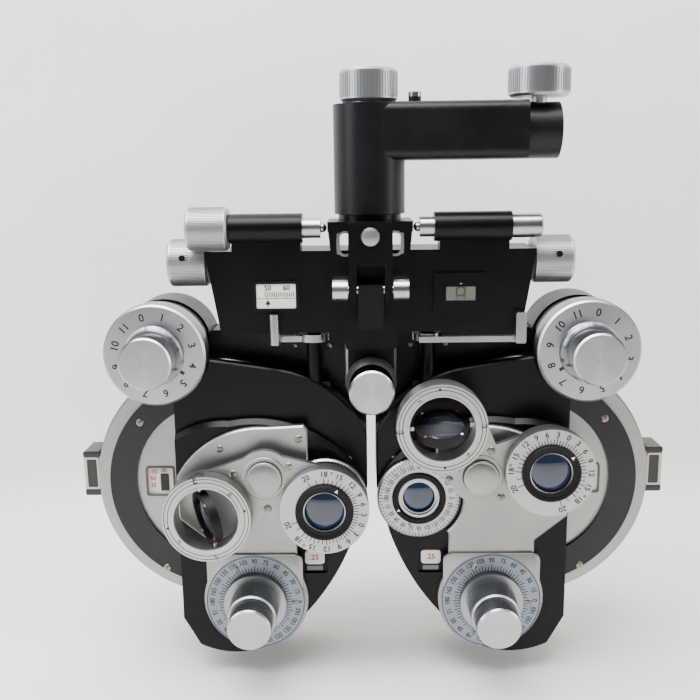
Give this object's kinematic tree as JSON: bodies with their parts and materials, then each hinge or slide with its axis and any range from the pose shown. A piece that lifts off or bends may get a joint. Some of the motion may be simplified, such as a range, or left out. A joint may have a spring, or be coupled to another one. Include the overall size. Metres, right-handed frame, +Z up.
{
  "type": "phoropter",
  "caption": "Refraction head with two lens batteries on a levelling saddle, hung from a swivelling arm with a rod socket.",
  "frame": {"origin": "mouth of the arm's rod bore, on its axis", "axes": "+X along the rod bore, out of its mouth and towards the patient's left; +Y from the examiner to the patient; +Z up"},
  "size_m": [0.3242, 0.115, 0.3144],
  "materials": {
    "black_enamel": "satin crinkle enamel",
    "grey_plate": "matt",
    "knurled_alu": "knurled",
    "turned_alu": "turned, clear anodised",
    "cast_alu": "satin",
    "steel": "brushed",
    "scale_white": "printed",
    "glass": "clear",
    "white_plastic": "smooth",
    "black_plastic": "semi-gloss"
  },
  "bodies": {
    "arm": {"arm_casting": "black_enamel", "arm_bottom_cover": "grey_plate"},
    "arm_lock": {"arm_lock_knob": "knurled_alu"},
    "rotation_lock": {"rotation_lock_knob": "knurled_alu"},
    "yoke": {"swivel_post": "steel", "yoke_plate": "black_enamel"},
    "reading_rod_holder": {"rod_holder": "steel"},
    "saddle": {"saddle_bar": "black_enamel", "bar_rear_cover": "black_enamel", "pd_scale_plate": "scale_white", "level_housing": "black_enamel", "level_vial": "glass", "level_barrel": "black_enamel", "spring_barrel": "black_enamel"},
    "level_screw": {"level_knob": "turned_alu"},
    "level_pin": {"level_plunger": "steel"},
    "spring_pin": {"spring_plunger": "steel"},
    "pd_drive": {"pd_screw": "steel", "left_pd_knob": "turned_alu", "right_pd_knob": "turned_alu"},
    "forehead_drive": {"forehead_knob": "turned_alu"},
    "forehead_slide": {"forehead_rest": "white_plastic"},
    "right_slide": {"right_carriage": "steel"},
    "right_battery": {"right_front_cover": "black_enamel", "right_rear_cover": "black_enamel", "right_side_cover": "cast_alu", "right_cylinder_bracket": "cast_alu", "right_corneal_sight": "black_plastic", "right_eye_shield": "black_plastic"},
    "right_lever": {"right_vergence_lever": "turned_alu"},
    "right_weak_sphere": {"right_sphere_wheel": "turned_alu"},
    "right_lens_discs": {"right_lens_disc": "turned_alu"},
    "right_aux_lens_dial": {"right_aux_dial": "turned_alu"},
    "right_strong_sphere": {"right_strong_knob": "turned_alu"},
    "right_cyl_axis": {"right_axis_knob": "turned_alu"},
    "right_cyl_power": {"right_power_knob": "turned_alu"},
    "right_axis_scale": {"right_axis_ring": "turned_alu"},
    "right_turret": {"right_turret_arm": "cast_alu"},
    "right_cross_cyl_ring": {"right_jcc_ring": "turned_alu"},
    "right_cross_cyl_lens": {"right_jcc_lens": "black_plastic"},
    "right_prism": {"right_prism_ring": "turned_alu"},
    "left_slide": {"left_carriage": "steel"},
    "left_battery": {"left_front_cover": "black_enamel", "left_rear_cover": "black_enamel", "left_side_cover": "cast_alu", "left_cylinder_bracket": "cast_alu", "left_corneal_sight": "black_plastic", "left_eye_shield": "black_plastic"},
    "left_lever": {"left_vergence_lever": "turned_alu"},
    "left_weak_sphere": {"left_sphere_wheel": "turned_alu"},
    "left_lens_discs": {"left_lens_disc": "turned_alu"},
    "left_aux_lens_dial": {"left_aux_dial": "turned_alu"},
    "left_strong_sphere": {"left_strong_knob": "turned_alu"},
    "left_cyl_axis": {"left_axis_knob": "turned_alu"},
    "left_cyl_power": {"left_power_knob": "turned_alu"},
    "left_axis_scale": {"left_axis_ring": "turned_alu"},
    "left_turret": {"left_turret_arm": "cast_alu"},
    "left_cross_cyl_ring": {"left_jcc_ring": "turned_alu"},
    "left_cross_cyl_lens": {"left_jcc_lens": "black_plastic"},
    "left_prism": {"left_prism_ring": "turned_alu"}
  },
  "joints": [
    {"name": "arm_lock_turn", "type": "hinge", "parent": "arm", "child": "arm_lock", "pos_m": [-0.01, 0, 0], "axis": [0, 0, 1], "range_deg": [0, 540]},
    {"name": "rotation_lock_turn", "type": "hinge", "parent": "arm", "child": "rotation_lock", "pos_m": [-0.096, 0, 0.0097], "axis": [0, 0, 1], "range_deg": [0, 540]},
    {"name": "head_swivel", "type": "hinge", "parent": "arm", "child": "yoke", "pos_m": [-0.096, 0, -0.0413], "axis": [0, 0, 1], "range_deg": [-120, 120]},
    {"name": "level_screw_turn", "type": "hinge", "parent": "saddle", "child": "level_screw", "pos_m": [-0.176, -0.009, -0.0473], "axis": [1, 0, 0], "range_deg": [-618.2, 618.2]},
    {"name": "saddle_level", "type": "hinge", "parent": "yoke", "child": "saddle", "pos_m": [-0.096, -0.008, -0.0873], "axis": [0, -1, 0], "range_deg": [-2.4, 2.4]},
    {"name": "level_pin_slide", "type": "slide", "parent": "saddle", "child": "level_pin", "axis": [1, 0, 0], "range_m": [-0.0018, 0.0018]},
    {"name": "spring_pin_slide", "type": "slide", "parent": "saddle", "child": "spring_pin", "axis": [1, 0, 0], "range_m": [-0.0018, 0.0018]},
    {"name": "rod_holder_fold", "type": "hinge", "parent": "yoke", "child": "reading_rod_holder", "pos_m": [-0.096, -0.027, -0.0771], "axis": [1, 0, 0], "range_deg": [-80, 0]},
    {"name": "pd_turn", "type": "hinge", "parent": "saddle", "child": "pd_drive", "pos_m": [-0.096, 0.006, -0.0658], "axis": [1, 0, 0], "range_deg": [-132, 1512]},
    {"name": "right_pd_slide", "type": "slide", "parent": "saddle", "child": "right_slide", "axis": [-1, 0, 0], "range_m": [-0.001, 0.0125]},
    {"name": "right_lever_swing", "type": "hinge", "parent": "right_slide", "child": "right_lever", "pos_m": [-0.126, -0.003, -0.1063], "axis": [0, 0, 1], "range_deg": [0, 16]},
    {"name": "right_vergence", "type": "hinge", "parent": "right_slide", "child": "right_battery", "pos_m": [-0.126, -0.003, -0.1213], "axis": [0, 0, 1], "range_deg": [0, 4.01]},
    {"name": "right_weak_sphere_turn", "type": "hinge", "parent": "right_battery", "child": "right_weak_sphere", "pos_m": [-0.1793, 0.012, -0.1853], "axis": [0, -1, 0], "continuous": true},
    {"name": "right_aux_turn", "type": "hinge", "parent": "right_battery", "child": "right_aux_lens_dial", "pos_m": [-0.2085, -0.008, -0.1116], "axis": [0, -1, 0], "continuous": true},
    {"name": "right_strong_sphere_turn", "type": "hinge", "parent": "right_battery", "child": "right_strong_sphere", "pos_m": [-0.2085, -0.028, -0.1116], "axis": [0, -1, 0], "continuous": true},
    {"name": "right_lens_disc_turn", "type": "hinge", "parent": "right_battery", "child": "right_lens_discs", "pos_m": [-0.173, 0.024, -0.1873], "axis": [0, -1, 0], "continuous": true},
    {"name": "right_axis_turn", "type": "hinge", "parent": "right_battery", "child": "right_cyl_axis", "pos_m": [-0.16, -0.023, -0.2488], "axis": [0, -1, 0], "continuous": true},
    {"name": "right_axis_scale_turn", "type": "hinge", "parent": "right_battery", "child": "right_axis_scale", "pos_m": [-0.121, -0.018, -0.1913], "axis": [0, -1, 0], "continuous": true},
    {"name": "right_power_turn", "type": "hinge", "parent": "right_battery", "child": "right_cyl_power", "pos_m": [-0.16, -0.043, -0.2488], "axis": [0, -1, 0], "continuous": true},
    {"name": "right_turret_swing", "type": "hinge", "parent": "right_battery", "child": "right_turret", "pos_m": [-0.1522, -0.026, -0.1751], "axis": [0, -1, 0], "range_deg": [0, 201.4]},
    {"name": "right_prism_turn", "type": "hinge", "parent": "right_turret", "child": "right_prism", "pos_m": [-0.12095, -0.031, -0.1913], "axis": [0, -1, 0], "range_deg": [-125, 125]},
    {"name": "right_cross_cyl_turn", "type": "hinge", "parent": "right_turret", "child": "right_cross_cyl_ring", "pos_m": [-0.18185, -0.0327, -0.19406], "axis": [0, -1, 0], "continuous": true},
    {"name": "right_cross_cyl_flip", "type": "hinge", "parent": "right_cross_cyl_ring", "child": "right_cross_cyl_lens", "pos_m": [-0.18185, -0.0327, -0.19406], "axis": [-0.225, 0, 0.9744], "range_deg": [0, 180]},
    {"name": "left_pd_slide", "type": "slide", "parent": "saddle", "child": "left_slide", "axis": [1, 0, 0], "range_m": [-0.0011, 0.0126]},
    {"name": "left_lever_swing", "type": "hinge", "parent": "left_slide", "child": "left_lever", "pos_m": [-0.066, -0.003, -0.1063], "axis": [0, 0, -1], "range_deg": [0, 16]},
    {"name": "left_vergence", "type": "hinge", "parent": "left_slide", "child": "left_battery", "pos_m": [-0.066, -0.003, -0.1213], "axis": [0, 0, -1], "range_deg": [0, 4.01]},
    {"name": "left_weak_sphere_turn", "type": "hinge", "parent": "left_battery", "child": "left_weak_sphere", "pos_m": [-0.0127, 0.012, -0.1853], "axis": [0, -1, 0], "continuous": true},
    {"name": "left_aux_turn", "type": "hinge", "parent": "left_battery", "child": "left_aux_lens_dial", "pos_m": [0.0165, -0.008, -0.1116], "axis": [0, -1, 0], "continuous": true},
    {"name": "left_strong_sphere_turn", "type": "hinge", "parent": "left_battery", "child": "left_strong_sphere", "pos_m": [0.0165, -0.028, -0.1116], "axis": [0, -1, 0], "continuous": true},
    {"name": "left_lens_disc_turn", "type": "hinge", "parent": "left_battery", "child": "left_lens_discs", "pos_m": [-0.019, 0.024, -0.1873], "axis": [0, -1, 0], "continuous": true},
    {"name": "left_axis_turn", "type": "hinge", "parent": "left_battery", "child": "left_cyl_axis", "pos_m": [-0.032, -0.023, -0.2488], "axis": [0, -1, 0], "continuous": true},
    {"name": "left_axis_scale_turn", "type": "hinge", "parent": "left_battery", "child": "left_axis_scale", "pos_m": [-0.071, -0.018, -0.1913], "axis": [0, -1, 0], "continuous": true},
    {"name": "left_power_turn", "type": "hinge", "parent": "left_battery", "child": "left_cyl_power", "pos_m": [-0.032, -0.043, -0.2488], "axis": [0, -1, 0], "continuous": true},
    {"name": "left_turret_swing", "type": "hinge", "parent": "left_battery", "child": "left_turret", "pos_m": [-0.0398, -0.026, -0.1751], "axis": [0, -1, 0], "range_deg": [0, 201.4]},
    {"name": "left_prism_turn", "type": "hinge", "parent": "left_turret", "child": "left_prism", "pos_m": [-0.00481, -0.031, -0.1713], "axis": [0, -1, 0], "range_deg": [-125, 125]},
    {"name": "left_cross_cyl_turn", "type": "hinge", "parent": "left_turret", "child": "left_cross_cyl_ring", "pos_m": [-0.06059, -0.0327, -0.14669], "axis": [0, -1, 0], "continuous": true},
    {"name": "left_cross_cyl_flip", "type": "hinge", "parent": "left_cross_cyl_ring", "child": "left_cross_cyl_lens", "pos_m": [-0.06059, -0.0327, -0.14669], "axis": [0.9976, 0, 0.0698], "range_deg": [0, 180]},
    {"name": "forehead_turn", "type": "hinge", "parent": "yoke", "child": "forehead_drive", "pos_m": [-0.096, -0.028, -0.1267], "axis": [0, -1, 0], "range_deg": [-720, 720]},
    {"name": "forehead_rest_slide", "type": "slide", "parent": "yoke", "child": "forehead_slide", "axis": [0, 1, 0], "range_m": [-0.00802, 0.00802]}
  ],
  "couplings": [
    {"joint": "level_screw_turn", "follows": "saddle_level", "ratio": 251.33},
    {"joint": "level_pin_slide", "follows": "saddle_level", "m_per_rad": 0.04},
    {"joint": "spring_pin_slide", "follows": "saddle_level", "m_per_rad": 0.04},
    {"joint": "pd_turn", "follows": "right_pd_slide", "rad_per_m": 2094.4},
    {"joint": "right_vergence", "follows": "right_lever_swing", "ratio": 0.25},
    {"joint": "right_lens_disc_turn", "follows": "right_strong_sphere_turn", "ratio": -1},
    {"joint": "right_axis_scale_turn", "follows": "right_axis_turn", "ratio": 1},
    {"joint": "left_pd_slide", "follows": "right_pd_slide", "ratio": 1},
    {"joint": "left_vergence", "follows": "left_lever_swing", "ratio": 0.25},
    {"joint": "left_lens_disc_turn", "follows": "left_strong_sphere_turn", "ratio": -1},
    {"joint": "left_axis_scale_turn", "follows": "left_axis_turn", "ratio": 1},
    {"joint": "forehead_rest_slide", "follows": "forehead_turn", "m_per_rad": 0.00063662}
  ]
}
